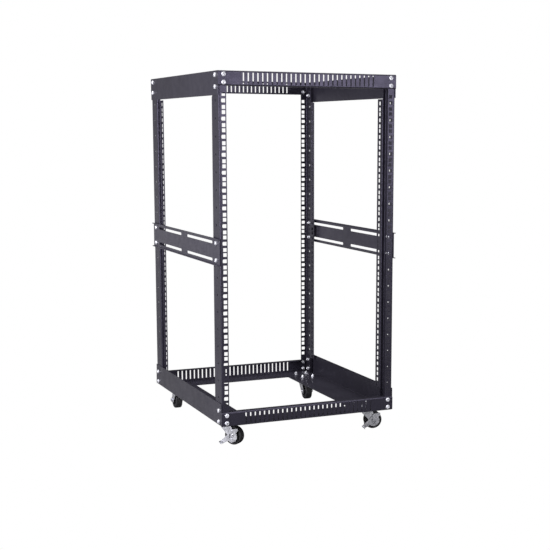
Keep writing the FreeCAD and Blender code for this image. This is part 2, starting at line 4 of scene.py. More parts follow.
import bmesh
import bpy
import numpy as np
from mathutils import Matrix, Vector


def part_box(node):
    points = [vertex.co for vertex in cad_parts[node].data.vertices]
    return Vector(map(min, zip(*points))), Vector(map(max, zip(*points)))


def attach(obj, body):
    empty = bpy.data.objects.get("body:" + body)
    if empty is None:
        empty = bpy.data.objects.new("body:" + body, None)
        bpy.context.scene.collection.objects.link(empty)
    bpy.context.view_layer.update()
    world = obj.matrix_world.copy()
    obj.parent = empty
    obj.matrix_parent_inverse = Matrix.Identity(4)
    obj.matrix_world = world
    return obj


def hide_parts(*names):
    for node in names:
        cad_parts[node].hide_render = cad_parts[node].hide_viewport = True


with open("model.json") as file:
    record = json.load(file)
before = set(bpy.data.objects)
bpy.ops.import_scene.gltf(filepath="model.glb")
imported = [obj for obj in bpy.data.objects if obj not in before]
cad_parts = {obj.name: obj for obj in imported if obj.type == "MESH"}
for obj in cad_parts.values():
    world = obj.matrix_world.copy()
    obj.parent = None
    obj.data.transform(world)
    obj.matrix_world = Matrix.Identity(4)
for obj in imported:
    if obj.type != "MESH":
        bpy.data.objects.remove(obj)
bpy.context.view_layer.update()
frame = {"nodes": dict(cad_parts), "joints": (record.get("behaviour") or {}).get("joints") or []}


# Posts.  Four channels folded from steel sheet, with a step at the inner side, and punched with three
# square holes to the rack unit.  They are powder coated black: a fine orange peel, a little cloudy in
# colour, and rubbed paler along the edges.
POST_BLACK = (0.0140, 0.0130, 0.0185, 1.0)
POST_BLACK_CLOUDED = (0.0195, 0.0182, 0.0250, 1.0)
RUBBED_EDGE = (0.075, 0.072, 0.090, 1.0)
COAT_SHEEN = (0.76, 0.71, 1.0, 1.0)


def shader_node(tree, kind, settings, inputs):
    """One shader node with its settings.  An input is a plain value or the output of another node."""
    node = tree.nodes.new("ShaderNode" + kind)
    for key, value in settings.items():
        setattr(node, key, value)
    for key, value in inputs.items():
        if isinstance(value, bpy.types.NodeSocket):
            tree.links.new(value, node.inputs[key])
        else:
            node.inputs[key].default_value = value
    return node


def noise_on(tree, place, scale, detail):
    """Noise of a given scale, in cycles to the metre, over a set of coordinates."""
    inputs = {"Vector": place, "Scale": scale, "Detail": detail, "Roughness": 0.55}
    return shader_node(tree, "TexNoise", {}, inputs).outputs["Fac"]


def spread(tree, value, low, high, to_low, to_high):
    """Value carried from the range low..high to the range to_low..to_high, and held within it."""
    inputs = {"Value": value, "From Min": low, "From Max": high, "To Min": to_low, "To Max": to_high}
    return shader_node(tree, "MapRange", {"clamp": True}, inputs).outputs["Result"]


def times(tree, a, b):
    return shader_node(tree, "Math", {"operation": "MULTIPLY"}, {0: a, 1: b}).outputs["Value"]


def blended(tree, amount, first, second):
    """Colour between two others by an amount from 0 to 1."""
    mix = shader_node(tree, "Mix", {"data_type": "RGBA"}, {"Factor": amount})
    for socket, colour in ((6, first), (7, second)):
        if isinstance(colour, bpy.types.NodeSocket):
            tree.links.new(colour, mix.inputs[socket])
        else:
            mix.inputs[socket].default_value = colour
    return mix.outputs[2]


def edge_amount(tree, radius):
    """How near an edge a point lies: one less the cosine between the true normal and one rounded over a
    radius."""
    rounded = shader_node(tree, "Bevel", {"samples": 4}, {"Radius": radius}).outputs["Normal"]
    true = shader_node(tree, "NewGeometry", {}, {}).outputs["Normal"]
    cosine = shader_node(tree, "VectorMath", {"operation": "DOT_PRODUCT"}, {0: rounded, 1: true})
    return spread(tree, cosine.outputs["Value"], 1.0, 0.75, 0.0, 1.0)


def powder_coat(name, black, clouded, shift):
    """Powder coat on sheet steel.  Noises of about 1 and 4 mm make the orange peel, one of 120 mm clouds
    the colour, and one of 25 mm varies the gloss and lets worn edges show."""
    material = bpy.data.materials.new(name)
    material.use_nodes = True
    tree = material.node_tree
    shader = tree.nodes["Principled BSDF"]
    place = shader_node(tree, "TexCoord", {}, {}).outputs["Object"]
    place = shader_node(tree, "Mapping", {}, {"Vector": place, "Location": shift}).outputs["Vector"]
    fine_peel = noise_on(tree, place, 950.0, 3.0)
    wide_peel = noise_on(tree, place, 260.0, 2.0)
    cloud = spread(tree, noise_on(tree, place, 8.0, 4.0), 0.35, 0.65, 0.0, 1.0)
    patches = noise_on(tree, place, 40.0, 5.0)
    worn = times(tree, edge_amount(tree, 0.0007), spread(tree, patches, 0.42, 0.62, 0.15, 0.9))
    base = blended(tree, cloud, black, clouded)
    tree.links.new(blended(tree, worn, base, RUBBED_EDGE), shader.inputs["Base Color"])
    tree.links.new(spread(tree, patches, 0.3, 0.7, 0.28, 0.39), shader.inputs["Roughness"])
    bump = shader_node(tree, "Bump", {}, {"Height": wide_peel, "Strength": 0.22, "Distance": 0.0006})
    bump = shader_node(tree, "Bump", {}, {"Height": fine_peel, "Normal": bump.outputs["Normal"],
                                          "Strength": 0.30, "Distance": 0.0002})
    tree.links.new(bump.outputs["Normal"], shader.inputs["Normal"])
    shader.inputs["IOR"].default_value = 1.5
    shader.inputs["Specular Tint"].default_value = COAT_SHEEN
    return material


def dress(names, material):
    """Gives a finish to CAD nodes, which keep their own shape."""
    for name in names:
        for slot in frame["nodes"][name].material_slots:
            slot.material = material


SIDES = {"left": -1, "right": 1}
ENDS = {"front": -1, "rear": 1}
CORNERS = [(end, side) for end in ENDS for side in SIDES]
POST_SHEET = 0.0015
POST_OUTER = 0.2453          # outer face of the web
POST_FRONT = 0.294           # face of the flange with the square holes
FLANGE_EDGE = 0.2254
WEB_END = 0.2426             # where the web steps in
STRIP_OUTER = 0.2362         # outer face of the stepped-in strip
STRIP_END = 0.2148
STRIP_LOW, STRIP_HIGH = 0.1185, 0.9066
FOLD = 0.00225               # radius of the middle of the sheet in a fold
UNIT = 0.04445
UNIT_COUNT = 18
FIRST_UNIT = 0.139725        # height of the middle of the lowest unit
HOLE_STEP = 0.015875
SQUARE_HALF = 0.00475
HOLE_COLUMN = 0.23255
HOLE_BULGE = 0.0016          # round side of each unit's middle hole
STRIP_HOLE_Y = 0.2266
SIDE_HOLE_Y = 0.2683
SIDE_HOLE_HALF = 0.0035


def grid_quads(rows, columns, close_rows, close_columns):
    """Corner numbers of the quads of a grid numbered row by row, joined end to end where it is closed."""
    i = np.arange(rows if close_rows else rows - 1)[:, None]
    j = np.arange(columns if close_columns else columns - 1)[None, :]
    here, below = i * columns, (i + 1) % rows * columns
    after = (j + 1) % columns
    return np.stack([here + j, here + after, below + after, below + j], axis=-1).reshape(-1, 4)


def new_piece(name, patches, material, body, sharp, kept=None):
    """One piece from grids of points.  Doubled seams and poles are merged, and the faces turned outwards.
    Where cells are cut away, faces square to an axis stay flat, so that the cuts don't shade them."""
    points, quads, count = [], [], 0
    for grid, close_rows, close_columns in patches:
        rows, columns = grid.shape[:2]
        points.append(grid.reshape(-1, 3))
        quads.append(grid_quads(rows, columns, close_rows, close_columns) + count)
        count += rows * columns
    points, quads = np.concatenate(points), np.concatenate(quads)
    if kept is not None:
        used, quads = np.unique(quads[kept.ravel()], return_inverse=True)
        points = points[used]
    mesh = bpy.data.meshes.new(name)
    mesh.from_pydata(points.tolist(), [], quads.reshape(-1, 4).tolist())
    shape = bmesh.new()
    shape.from_mesh(mesh)
    bmesh.ops.remove_doubles(shape, verts=shape.verts, dist=2e-6)
    bmesh.ops.dissolve_degenerate(shape, edges=shape.edges, dist=1e-6)
    bmesh.ops.recalc_face_normals(shape, faces=shape.faces)
    shape.to_mesh(mesh)
    shape.free()
    mesh.polygons.foreach_set("use_smooth", np.ones(len(mesh.polygons), bool))
    mesh.set_sharp_from_angle(angle=math.radians(sharp))
    if kept is not None:
        normals = np.zeros(3 * len(mesh.polygons), np.float32)
        mesh.polygons.foreach_get("normal", normals)
        mesh.polygons.foreach_set("use_smooth", abs(normals.reshape(-1, 3)).max(axis=1) < 0.9999)
    mesh.materials.append(material)
    piece = bpy.data.objects.new(name, mesh)
    bpy.context.collection.objects.link(piece)
    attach(piece, body)
    return piece


def fold(x, y, start, turn):
    """Points of a fold round a centre, from an angle and through a turn, both in quarters of a circle."""
    angle = (start + turn * np.linspace(0, 1, 6)) * math.pi / 2
    return np.stack([x + FOLD * np.cos(angle), y + FOLD * np.sin(angle)], axis=-1)


def post_section():
    """Middle of the post's sheet seen from above, for the corner where x and y are positive: flange, web,
    step and strip, with a line at each edge of a hole."""
    half = POST_SHEET / 2
    face, web = POST_FRONT - half, POST_OUTER - half
    step, strip = WEB_END + half, STRIP_OUTER - half
    side_lines = SIDE_HOLE_Y + SIDE_HOLE_HALF * np.array([1, 0.5, 0, -0.5, -1])
    flange_lines = [FLANGE_EDGE, HOLE_COLUMN - SQUARE_HALF, HOLE_COLUMN + SQUARE_HALF]
    strip_lines = [STRIP_HOLE_Y + SQUARE_HALF, STRIP_HOLE_Y - SQUARE_HALF, STRIP_END]
    return np.concatenate([
        [(x, face) for x in flange_lines], fold(web - FOLD, face - FOLD, 1, -1),
        [(web, y) for y in side_lines], fold(web - FOLD, step + FOLD, 0, -1),
        fold(strip + FOLD, step - FOLD, 1, 1), [(strip, y) for y in strip_lines]])


def post_heights(base, top):
    """Heights of the section's lines: the ends, and the edges and quarter lines of every unit's holes."""
    middle = [x * SIDE_HOLE_HALF for x in (-1, -0.5, 0, 0.5, 1)] + [-SQUARE_HALF, SQUARE_HALF]
    outer = [HOLE_STEP - SQUARE_HALF, HOLE_STEP + SQUARE_HALF]
    steps = np.sort(middle + outer + [-z for z in outer])
    units = FIRST_UNIT + UNIT * np.arange(UNIT_COUNT)
    lines = (units[:, None] + steps).ravel()
    return np.sort(np.concatenate([[base, top, STRIP_LOW, STRIP_HIGH], lines]))


def near_unit(z):
    """Height over the middle of the nearest unit."""
    return z - FIRST_UNIT - UNIT * np.clip(np.round((z - FIRST_UNIT) / UNIT), 0, UNIT_COUNT - 1)


def punched_post(base, top):
    """Points and kept cells of the post's sheet.  In a square block with sides u and v from -1 to 1 a round
    hole's edge is u sqrt(1 - v^2 / 2), v sqrt(1 - u^2 / 2).  The outer side of a middle hole is pushed out
    by the bulge times sqrt(1 - v^2)."""
    section, heights = post_section(), post_heights(base, top)
    x, z = np.meshgrid(section[:, 0], heights, indexing="ij")
    y = section[:, 1:2] + 0 * z
    lift = near_unit(z)
    middle_x, middle_y, middle_z = [(a[:-1, :-1] + a[1:, 1:]) / 2 for a in (x, y, z)]
    from_unit = near_unit(middle_z)
    from_square = abs(from_unit - HOLE_STEP * np.clip(np.round(from_unit / HOLE_STEP), -1, 1))
    on_face, on_strip = middle_y > POST_FRONT - POST_SHEET, middle_x < STRIP_OUTER
    on_strip &= middle_y < WEB_END - FOLD
    in_column = abs(middle_x - HOLE_COLUMN) < SQUARE_HALF
    missing = on_face & in_column & (from_square < SQUARE_HALF)
    missing |= on_strip & (abs(middle_y - STRIP_HOLE_Y) < SQUARE_HALF) & (from_square < SQUARE_HALF)
    on_web = middle_x > POST_OUTER - POST_SHEET
    missing |= on_web & (abs(middle_y - SIDE_HOLE_Y) < SIDE_HOLE_HALF) & (abs(from_unit) < SIDE_HOLE_HALF)
    past_strip = (middle_z < STRIP_LOW) | (middle_z > STRIP_HIGH)
    missing |= (middle_x < STRIP_OUTER) & (middle_y < WEB_END) & past_strip
    u, v = (y - SIDE_HOLE_Y) / SIDE_HOLE_HALF, lift / SIDE_HOLE_HALF
    round_edge = (x > POST_OUTER - POST_SHEET) & (abs(u) < 1.001) & (abs(v) < 1.001)
    y = np.where(round_edge, SIDE_HOLE_Y + SIDE_HOLE_HALF * u * np.sqrt(1 - np.minimum(v * v, 1) / 2), y)
    z = np.where(round_edge, z + SIDE_HOLE_HALF * v * (np.sqrt(1 - np.minimum(u * u, 1) / 2) - 1), z)
    outer_side = (y > POST_FRONT - POST_SHEET) & (abs(x - HOLE_COLUMN - SQUARE_HALF) < 1e-6)
    bulge = HOLE_BULGE * np.sqrt(np.clip(1 - (lift / SQUARE_HALF) ** 2, 0, 1))
    x = np.where(outer_side, x + bulge, x)
    return np.stack([x, y, z], axis=-1), ~missing


post_coat = powder_coat("post_powder_coat", POST_BLACK, POST_BLACK_CLOUDED, (0.0, 0.0, 0.0))
for end, side in CORNERS:
    node = "post_%s_%s" % (end, side)
    low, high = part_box(node)
    points, kept = punched_post(low[2], high[2])
    points = points * [SIDES[side], ENDS[end], 1]
    sheet = [(points, False, False)]
    post = new_piece(node + "_punched", sheet, post_coat, "frame", 30, kept)
    wall = post.modifiers.new("wall", "SOLIDIFY")
    wall.thickness = POST_SHEET
    wall.offset = 0
    wall.use_even_offset = True
    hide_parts(node)


# Front and rear rails.  Vented faces over the posts with a turned-in lip, and in the lower ones a deep
# floor.  They have the posts' coat, sprayed on another hook of the line.
RAIL_BLACK = (0.0145, 0.0135, 0.0190, 1.0)
RAIL_BLACK_CLOUDED = (0.0200, 0.0188, 0.0260, 1.0)

cross_rails = ["%s_cross_rail_%s" % (level, end) for level in ("lower", "upper") for end in ENDS]
dress(cross_rails, powder_coat("cross_rail_powder_coat", RAIL_BLACK, RAIL_BLACK_CLOUDED, (3.1, 1.7, 0.4)))


# Side rails.  Plates bolted outside the posts.  The lower ones turn in as wide floors over the casters.
# The coat is the same as the cross rails', with its noises shifted.
side_rails = ["%s_side_rail_%s" % (level, side) for level in ("lower", "upper") for side in SIDES]
dress(side_rails, powder_coat("side_rail_powder_coat", RAIL_BLACK, RAIL_BLACK_CLOUDED, (7.3, 2.9, 5.2)))


# Middle braces.  Slotted channels with both lips turned out, bolted to the posts' sides half way up.
# They tie each front post to its rear post and carry cable managers; their coat is a shade paler than the
# rails', which is painted light: it stands in for the brighter reflection they catch.
# Painted light: these brace colours are paler than the rails' to stand in for the light the braces catch.
BRACE_BLACK_PAINTED_LIGHT = (0.0240, 0.0225, 0.0310, 1.0)
BRACE_CLOUDED_PAINTED_LIGHT = (0.0300, 0.0280, 0.0380, 1.0)

braces = ["middle_brace_" + side for side in SIDES]
dress(braces, powder_coat("brace_coat_painted_light", BRACE_BLACK_PAINTED_LIGHT, BRACE_CLOUDED_PAINTED_LIGHT, (1.9, 8.3, 6.4)))


# Frame screws.  M5 pan heads with a cross recess, zinc plated, driven from outside through rail and post.
# Two stand at each end of every rail and brace.
ZINC = (0.84, 0.85, 0.88, 1.0)
ZINC_DULL = (0.62, 0.63, 0.67, 1.0)
ZINC_EDGE = (0.96, 0.96, 0.97, 1.0)
HEAD_RADIUS = 0.0056
HEAD_HEIGHT = 0.0037
HEAD_WALL = 0.42             # share of the height that is a straight wall
RECESS_ARM = 0.15            # half width of an arm of the cross, as a share of the head's radius
RECESS_REACH = 0.58
RECESS_SLOPE = 0.03
RECESS_DEPTH = 0.0024
SHEET = 0.002


def zinc_plating(name, dull, metallic, shift):
    """Bright zinc over pressed or turned steel.  A slow noise dulls it in clouds, a stretched one draws
    rubbing marks in the gloss, and the edges are polished where they are touched."""
    material = bpy.data.materials.new(name)
    material.use_nodes = True
    tree = material.node_tree
    shader = tree.nodes["Principled BSDF"]
    place = shader_node(tree, "TexCoord", {}, {}).outputs["Object"]
    place = shader_node(tree, "Mapping", {}, {"Vector": place, "Location": shift}).outputs["Vector"]
    drawn = shader_node(tree, "Mapping", {}, {"Vector": place, "Scale": (1.0, 1.0, 0.12)}).outputs["Vector"]
    cloud = spread(tree, noise_on(tree, place, 90.0, 4.0), 0.35, 0.68, 0.0, 1.0)
    marks = noise_on(tree, drawn, 1400.0, 4.0)
    polished = times(tree, edge_amount(tree, 0.0004), 0.8)
    base = blended(tree, cloud, ZINC, dull)
    tree.links.new(blended(tree, polished, base, ZINC_EDGE), shader.inputs["Base Color"])
    tree.links.new(spread(tree, marks, 0.3, 0.7, 0.26, 0.44), shader.inputs["Roughness"])
    bump = shader_node(tree, "Bump", {}, {"Height": marks, "Strength": 0.25, "Distance": 0.00005})
    tree.links.new(bump.outputs["Normal"], shader.inputs["Normal"])
    shader.inputs["Metallic"].default_value = metallic
    return material


def disc_grid(lines):
    """Square grid u, v drawn into a unit disc: x = u sqrt(1 - v^2 / 2) and y = v sqrt(1 - u^2 / 2)."""
    u, v = np.meshgrid(lines, lines, indexing="ij")
    return u, v, u * np.sqrt(1 - v * v / 2), v * np.sqrt(1 - u * u / 2)


def rim_of(grid):
    """The outermost points of a square grid, in order round it."""
    return np.concatenate([grid[:-1, 0], grid[-1, :-1], grid[:0:-1, -1], grid[0, :0:-1]])


def pan_head(radius, height):
    """Pan head on the XY plane, looking along +Z.  Its height over the unit disc is height times
    wall + (1 - wall) sqrt(1 - r^4), less the recess: an arm of the cross lies where |u| or |v| is within
    its half width."""
    arm, reach, slope = RECESS_ARM, RECESS_REACH, RECESS_SLOPE
    half = [0.0, arm, arm + slope, 0.34, reach, reach + slope, 0.72, 0.84, 0.93, 1.0]
    lines = np.array([-x for x in half[:0:-1]] + half)
    u, v, x, y = disc_grid(lines)
    r = np.minimum(np.hypot(x, y), 1.0)
    z = height * (HEAD_WALL + (1 - HEAD_WALL) * np.sqrt(1 - r ** 4))
    along, across = np.maximum(abs(u), abs(v)), np.minimum(abs(u), abs(v))
    in_cross = (across < arm + slope / 2) & (along < reach + slope / 2)
    z = np.where(in_cross, z - RECESS_DEPTH * (1 - 0.6 * along / reach), z)
    top = np.stack([x * radius, y * radius, z], axis=-1)
    rim = rim_of(top)
    foot = rim * [1, 1, 0]
    return [(top, False, False), (np.stack([rim, foot, foot * 0]), False, True)]


def turned_profile(profile, count):
    """Profile of radius and height turned about Z in a number of steps: x = r cos a, y = r sin a."""
    angle = np.arange(count) * 2 * math.pi / count
    r, z = np.array(profile).T
    points = [r[:, None] * np.cos(angle), r[:, None] * np.sin(angle), z[:, None] + 0 * angle]
    return [(np.stack(points, axis=-1), False, True)]


def facing(direction, spin):
    """Three axes as rows, the last along a direction, turned about it by a spin."""
    ahead = np.array(direction, float)
    side = np.cross([0.0, 0.0, 1.0] if abs(ahead[2]) < 0.9 else [0.0, 1.0, 0.0], ahead)
    side /= np.linalg.norm(side)
    up = np.cross(ahead, side)
    turned = side * math.cos(spin) + up * math.sin(spin)
    return np.array([turned, np.cross(ahead, turned), ahead])


def set_at(patches, axes, origin):
    """Patches carried to an origin with their X, Y and Z along the given axes."""
    return [(points @ axes + origin, rows, columns) for points, rows, columns in patches]


def node_corners(name):
    """Lowest and highest corner of a CAD node, as two arrays."""
    low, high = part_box(name)
    return np.array(low), np.array(high)


turns = np.random.default_rng(18)
screw_zinc = zinc_plating("screw_zinc", ZINC_DULL, 0.55, (0.0, 0.0, 0.0))
CROSS_BOLTS = (0.009, 0.029)
SIDE_BOLTS = (0.0105, 0.0395)
SIDE_BOLT_Y = 0.2755
BRACE_BOLT_Y = 0.2683
BRACE_BOLT_RISE = 0.022225

low, high = node_corners("lower_cross_rail_front")
FRAME_BASE = low[2]
RAIL_OUTER = high[0]
RAIL_FRONT = -low[1]
FRAME_TOP = node_corners("upper_cross_rail_front")[1][2]
low, high = node_corners("middle_brace_left")
MIDDLE = (low[2] + high[2]) / 2

cross_heights = [FRAME_BASE + z for z in CROSS_BOLTS] + [FRAME_TOP - z for z in CROSS_BOLTS]
side_heights = [FRAME_BASE + z for z in SIDE_BOLTS] + [FRAME_TOP - z for z in SIDE_BOLTS]
brace_heights = [MIDDLE - BRACE_BOLT_RISE, MIDDLE + BRACE_BOLT_RISE]
screw_places = {
    "cross_rail": [((0, end, 0), (side * HOLE_COLUMN, end * RAIL_FRONT, z))
                   for end in (-1, 1) for side in (-1, 1) for z in cross_heights],
    "side_rail": [((side, 0, 0), (side * RAIL_OUTER, end * SIDE_BOLT_Y, z))
                  for end in (-1, 1) for side in (-1, 1) for z in side_heights],
    "brace": [((side, 0, 0), (side * RAIL_OUTER, end * BRACE_BOLT_Y, z))
              for end in (-1, 1) for side in (-1, 1) for z in brace_heights],
}
for group, places in screw_places.items():
    patches = []
    for outward, origin in places:
        axes = facing(outward, turns.uniform(0, math.pi / 2))
        patches += set_at(pan_head(HEAD_RADIUS, HEAD_HEIGHT), axes, origin)
    new_piece(group + "_screw_heads", patches, screw_zinc, "frame", 35)


# Nuts on those screws, inside the posts.  Plain M5 hexagons on a washer, with the last threads standing
# out.  The threads are rolled, 0.8 mm to the turn.
WASHER_RADIUS = 0.0048
WASHER_HEIGHT = 0.0010
WASHER_EDGE = 0.3            # chamfer, as a share of the height
NUT_FLATS = 0.0080
NUT_HEIGHT = 0.0042
NUT_CHAMFER = 0.0007
THREAD_RADIUS = 0.0025
THREAD_DEPTH = 0.00045
THREAD_PITCH = 0.0008
FRAME_REACH = 0.0070         # from the sheet to the end of the thread


def washer(radius, height):
    """Flat ring round a screw, standing on the XY plane."""
    edge = height * WASHER_EDGE
    inside = [(THREAD_RADIUS, height), (THREAD_RADIUS, 0)]
    outside = [(radius, 0), (radius, height - edge), (radius - edge, height)]
    return turned_profile(inside[1:] + outside + inside, 32)


def hex_nut(base, flats, height):
    """Hexagon over the XY plane.  The radius at an angle a is half the flats over cos(a mod 60 - 30), in
    degrees, and the chamfered ends are pulled in to the circle between the flats."""
    step = math.pi / 3
    angle = np.arange(36) * 2 * math.pi / 36
    corner = flats / 2 / np.cos(angle % step - step / 2)
    round_end = np.minimum(corner, flats / 2 * 0.99)
    bore = THREAD_RADIUS + 0 * angle
    radii = [bore, round_end, corner, corner, round_end, bore]
    heights = [0, 0, NUT_CHAMFER, height - NUT_CHAMFER, height, height]
    rows = [np.stack([r * np.cos(angle), r * np.sin(angle), base + z + 0 * angle], axis=-1)
            for r, z in zip(radii, heights)]
    return [(np.stack(rows + rows[:1]), False, True)]


def thread_end(base, top, radius):
    """Threaded end from one height to another.  The radius falls by the thread's depth times twice the
    distance from a half of the fraction of z / pitch - a / 360.  The last pitch is chamfered, and the ends
    are closed."""
    count = 20
    rows = max(int((top - base) / THREAD_PITCH * 6), 6)
    z = np.linspace(base, top, rows)[:, None]
    angle = np.arange(count) * 2 * math.pi / count
    phase = (z / THREAD_PITCH - angle / (2 * math.pi)) % 1
    r = radius - THREAD_DEPTH * abs(2 * phase - 1)
    r = np.minimum(r, radius - THREAD_DEPTH + np.clip(top - z, 0, None))
    r = np.concatenate([r[:1] * 0, r, r[-1:] * 0])
    z = np.concatenate([z[:1], z, z[-1:]])
    return [(np.stack([r * np.cos(angle), r * np.sin(angle), z + 0 * angle], axis=-1), False, True)]


def nut_and_end(reach):
    """Washer, nut and the thread standing out of it, over the XY plane."""
    return (washer(WASHER_RADIUS, WASHER_HEIGHT) + hex_nut(WASHER_HEIGHT, NUT_FLATS, NUT_HEIGHT)
            + thread_end(0.0, reach, THREAD_RADIUS))


nut_zinc = zinc_plating("nut_zinc", ZINC_DULL, 0.55, (2.0, 5.0, 1.0))
for group, places in screw_places.items():
    patches = []
    for outward, origin in places:
        outward = np.array(outward, float)
        axes = facing(-outward, turns.uniform(0, math.pi / 3))
        inside = np.array(origin) - outward * (SHEET + POST_SHEET)
        patches += set_at(nut_and_end(FRAME_REACH), axes, inside)
    new_piece(group + "_nuts", patches, nut_zinc, "frame", 30)


# Caster plates.  Pressed from 2.5 mm steel, with a ball race pressed down round the kingpin, zinc plated.
# Four M5 bolts hold each one under the side rail's floor, their nuts on top.
CASTER_DULL = (0.50, 0.51, 0.54, 1.0)
PLATE_BOLT_X = 0.017
PLATE_BOLT_Y = 0.026
PLATE_SHEET = 0.0025
PLATE_REACH = 0.0078         # from the floor to the end of the thread
BOLT_RADIUS = 0.0050
BOLT_HEIGHT = 0.0034

caster_zinc = zinc_plating("caster_zinc", CASTER_DULL, 0.9, (4.0, 1.0, 7.0))
patches = []
heads = []
for end, side in CORNERS:
    name = "caster_%s_%s_plate" % (end, side)
    dress([name], caster_zinc)
    low, high = node_corners(name)
    for x in (-PLATE_BOLT_X, PLATE_BOLT_X):
        for y in (-PLATE_BOLT_Y, PLATE_BOLT_Y):
            over = (low + high) / 2 + [x, y, 0]
            over[2] = high[2] + SHEET
            under = over - [0, 0, SHEET + PLATE_SHEET]
            up = facing((0, 0, 1), turns.uniform(0, math.pi / 3))
            down = facing((0, 0, -1), turns.uniform(0, math.pi / 3))
            patches += set_at(nut_and_end(PLATE_REACH), up, over)
            heads += set_at(pan_head(BOLT_RADIUS, BOLT_HEIGHT), down, under)
new_piece("caster_bolt_nuts", patches, nut_zinc, "frame", 30)
new_piece("caster_bolt_heads", heads, screw_zinc, "frame", 35)
dress(["caster_%s_%s_kingpin" % corner for corner in CORNERS], caster_zinc)


# Forks.  One pressed strip bent down on both sides of the wheel, round at the crown and again at the axle.
# Each is zinc plated and turns on its kingpin under the plate's race.
joints = {joint["name"]: joint for joint in frame["joints"]}
CROWN_RADIUS = 0.019
CROWN_BEND = 0.0045
LEG_TOP_HALF = 0.017
LEG_MIDDLE = 0.0135
EYE_RADIUS = 0.009
TRAIL = 0.022
WHEEL_RADIUS = 0.025
FORK_SHEET = 0.002
FORK_EDGE = 0.0004           # rounding of the strip's edges


def caster_axes(end, side):
    """Swivel centre on the floor and the caster's own axes as rows: the way the wheel trails, its axle, and
    up."""
    swivel = np.array(joints["swivel_%s_%s" % (end, side)]["pos_m"], float)
    axle = np.array(joints["wheel_%s_%s" % (end, side)]["pos_m"], float)
    ahead = (axle - swivel) * [1, 1, 0]
    ahead /= np.linalg.norm(ahead)
    up = np.array([0.0, 0.0, 1.0])
    return swivel * [1, 1, 0], np.array([ahead, np.cross(up, ahead), up])


def leg_edge(height, top, sign):
    """How far ahead a leg's edge lies at a height: a line from the shoulder that touches the eye's circle,
    then the circle itself."""
    start = np.array([sign * LEG_TOP_HALF, top])
    eye = np.array([TRAIL, WHEEL_RADIUS])
    away = start - eye
    turn = math.atan2(away[1], away[0]) - sign * math.acos(EYE_RADIUS / np.linalg.norm(away))
    touch = eye + EYE_RADIUS * np.array([math.cos(turn), math.sin(turn)])
    line = start[0] + (height - top) * (touch[0] - start[0]) / (touch[1] - top)
    circle = TRAIL + sign * np.sqrt(np.clip(EYE_RADIUS ** 2 - (height - WHEEL_RADIUS) ** 2, 0, None))
    return np.where(height > touch[1], line, circle)


def fork_strip(crown_top):
    """The strip's middle surface: along its length the path goes down one leg, round a bend, over the crown
    and down the other; across it the points lie between the strip's two edges there."""
    middle = crown_top - FORK_SHEET / 2
    shoulder = middle - CROWN_BEND
    eye_low = WHEEL_RADIUS - EYE_RADIUS
    fall = (1 - np.cos(np.linspace(0, math.pi, 30))) / 2
    leg_z = shoulder + (eye_low - shoulder) * fall[1:]
    back, ahead = leg_edge(leg_z, shoulder, -1), leg_edge(leg_z, shoulder, 1)
    leg = np.stack([LEG_MIDDLE + 0 * leg_z, leg_z, back, ahead], axis=-1)
    turn = np.linspace(0, math.pi / 2, 8)
    bend_y = LEG_MIDDLE - CROWN_BEND + CROWN_BEND * np.sin(turn)
    bend_z = middle - CROWN_BEND + CROWN_BEND * np.cos(turn)
    crown_half = math.sqrt(CROWN_RADIUS ** 2 - (LEG_MIDDLE - CROWN_BEND) ** 2)
    bend_half = crown_half + (LEG_TOP_HALF - crown_half) * np.sin(turn)
    bend = np.stack([bend_y, bend_z, -bend_half, bend_half], axis=-1)
    crown_y = np.linspace(0, LEG_MIDDLE - CROWN_BEND, 8)[:-1]
    crown_x = np.sqrt(CROWN_RADIUS ** 2 - crown_y ** 2)
    crown = np.stack([crown_y, middle + 0 * crown_y, -crown_x, crown_x], axis=-1)
    half = np.concatenate([crown, bend, leg])
    path = np.concatenate([half[:0:-1] * [-1, 1, 1, 1], half])
    across = np.linspace(0, 1, 9)
    x = path[:, 2:3] + (path[:, 3:4] - path[:, 2:3]) * across
    y = path[:, 0:1] + 0 * across
    z = path[:, 1:2] + 0 * across
    return [(np.stack([x, y, z], axis=-1), False, False)]


for end, side in CORNERS:
    name = "caster_%s_%s_" % (end, side)
    body = "swivel_%s_%s" % (end, side)
    centre, axes = caster_axes(end, side)
    crown_top = node_corners(name + "fork")[1][2]
    fork = new_piece(name + "pressed_fork", set_at(fork_strip(crown_top), axes, centre),
                     caster_zinc, body, 40)
    wall = fork.modifiers.new("wall", "SOLIDIFY")
    wall.thickness = FORK_SHEET
    wall.offset = 0
    edges = fork.modifiers.new("edges", "BEVEL")
    edges.width = FORK_EDGE
    edges.segments = 2
    edges.limit_method = "ANGLE"
    edges.angle_limit = math.radians(50)
    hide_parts(name + "fork")
    dress([name + "axle"], caster_zinc)


# Wheels.  A black rubber tyre moulded on a black plastic centre that runs on the axle.
# The centre has a boss, six ribs and a rim; the tread is slightly crowned, with a fine parting line.
TYRE_BLACK = (0.012, 0.012, 0.013, 1.0)
TYRE_DUSTY = (0.030, 0.030, 0.031, 1.0)
CENTRE_BLACK = (0.018, 0.018, 0.020, 1.0)
CENTRE_SCUFFED = (0.050, 0.050, 0.053, 1.0)
WHEEL_HALF = 0.010
TYRE_INNER = 0.019
TREAD_CROWN = 0.00025
PARTING_DEPTH = 0.00015
SHOULDER = 0.003             # radius of the tyre's shoulders
WALL_OUTER = 0.0214          # low ring on the side wall
WALL_INNER = 0.0198
WALL_DEPTH = 0.0004
HUB_BORE = 0.00305
HUB_BOSS = 0.007
HUB_BOSS_HALF = 0.012
HUB_FACE = 0.0032
HUB_RIB = 0.0042
HUB_CHAMFER = 0.0008
RIB_COUNT = 6


